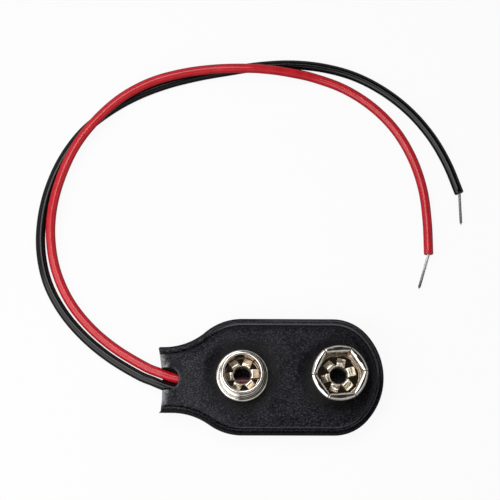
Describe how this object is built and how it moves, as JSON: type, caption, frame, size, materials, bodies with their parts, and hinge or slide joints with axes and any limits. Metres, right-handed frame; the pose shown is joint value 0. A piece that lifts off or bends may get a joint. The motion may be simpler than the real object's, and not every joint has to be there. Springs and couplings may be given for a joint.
{
  "type": "battery snap connector",
  "caption": "Soft leatherette battery snap with a round stud and a leafed socket on its face, and loose insulated leads that end in bare tinned tips.",
  "frame": {"origin": "back face of the pad, midway between the stud axis and the socket axis", "axes": "+X from the stud towards the socket and the round end, +Z out of the terminals"},
  "size_m": [0.0588, 0.0529, 0.0063],
  "materials": {
    "leatherette": "fine-grained black vinyl leathercloth",
    "fibre_board": "plain brown fibre board",
    "nickel_plate": "bright nickel plate",
    "eyelet_metal": "pale plated brass",
    "solder": "dull solder",
    "red_insulation": "satin red vinyl",
    "black_insulation": "satin black vinyl",
    "tinned_copper": "tinned strands"
  },
  "bodies": {
    "root": {"front_cover": "leatherette", "back_cover": "leatherette", "carrier_board": "fibre_board", "stud_terminal": "nickel_plate", "socket_terminal": "nickel_plate", "stud_eyelet": "eyelet_metal", "socket_eyelet": "eyelet_metal", "stud_solder_joint": "solder", "socket_solder_joint": "solder", "red_lead": "red_insulation", "red_conductor": "tinned_copper", "black_lead": "black_insulation", "black_conductor": "tinned_copper"}
  },
  "joints": []
}
